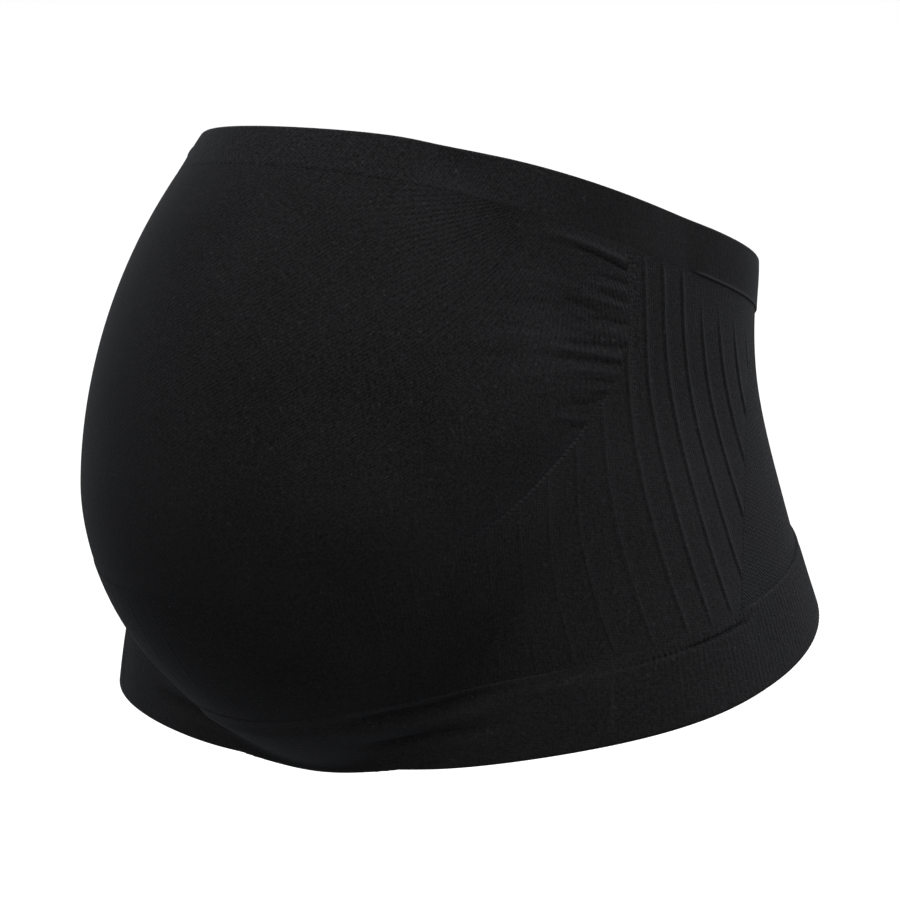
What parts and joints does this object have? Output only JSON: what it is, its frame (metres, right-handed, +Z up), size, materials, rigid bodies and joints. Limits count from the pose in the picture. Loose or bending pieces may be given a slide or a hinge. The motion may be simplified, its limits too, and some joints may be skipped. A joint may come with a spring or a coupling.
{
  "type": "maternity support band",
  "caption": "Seamless knitted tube worn round a pregnant bump: smooth gathered front, rib-knit zone under the bump, mesh back and turned bands at both edges.",
  "frame": {"origin": "on the axis of the wearer's trunk, level with the front of the lower hem; the trunk holds the band there", "axes": "+Z up along the trunk, -Y to the wearer's front, +X to the wearer's left"},
  "size_m": [0.3502, 0.3174, 0.2876],
  "materials": {
    "upper_band": "fine double rib knit, matt near-black",
    "bump_panel": "smooth plain knit, matt near-black",
    "support_panel": "firm knit with raised upright ribs, matt near-black",
    "back_panel": "open mesh knit, matt near-black",
    "lower_band": "double upright rib knit, matt near-black"
  },
  "bodies": {
    "root": {"upper_band": "upper_band", "bump_panel": "bump_panel", "support_panel": "support_panel", "back_panel": "back_panel", "lower_band": "lower_band"}
  },
  "joints": []
}
